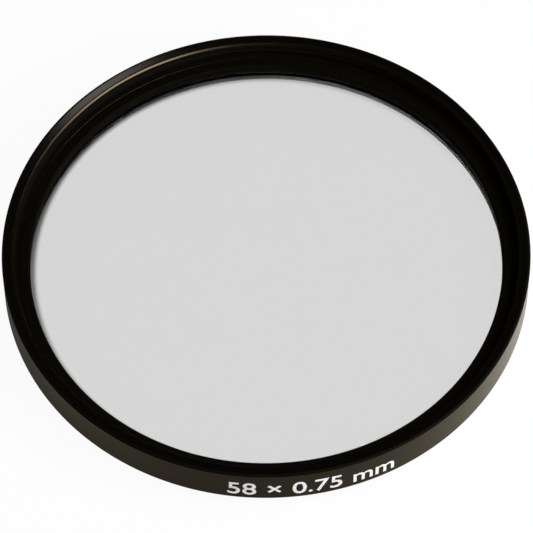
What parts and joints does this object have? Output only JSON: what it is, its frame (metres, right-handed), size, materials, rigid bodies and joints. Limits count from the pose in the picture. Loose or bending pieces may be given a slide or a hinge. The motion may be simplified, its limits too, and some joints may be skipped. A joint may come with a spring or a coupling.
{
  "type": "screw-in lens filter",
  "caption": "Round screw-in neutral density lens filter: a flat grey glass disc in a slim black turned ring, with a male thread at the rear and a female thread in front.",
  "frame": {"origin": "centre of the rear end, on the optical axis, where the filter rests on its male thread's end", "axes": "+Z along the optical axis, from the lens towards the subject"},
  "size_m": [0.06, 0.06, 0.0068],
  "materials": {
    "ring_black": "satin black anodised, turned",
    "retainer_black": "matt black anodised",
    "grey_glass": "polished, evenly grey",
    "mark_white": "matt white print"
  },
  "bodies": {
    "root": {"filter_ring": "ring_black", "retaining_ring": "retainer_black", "glass": "grey_glass"}
  },
  "joints": []
}
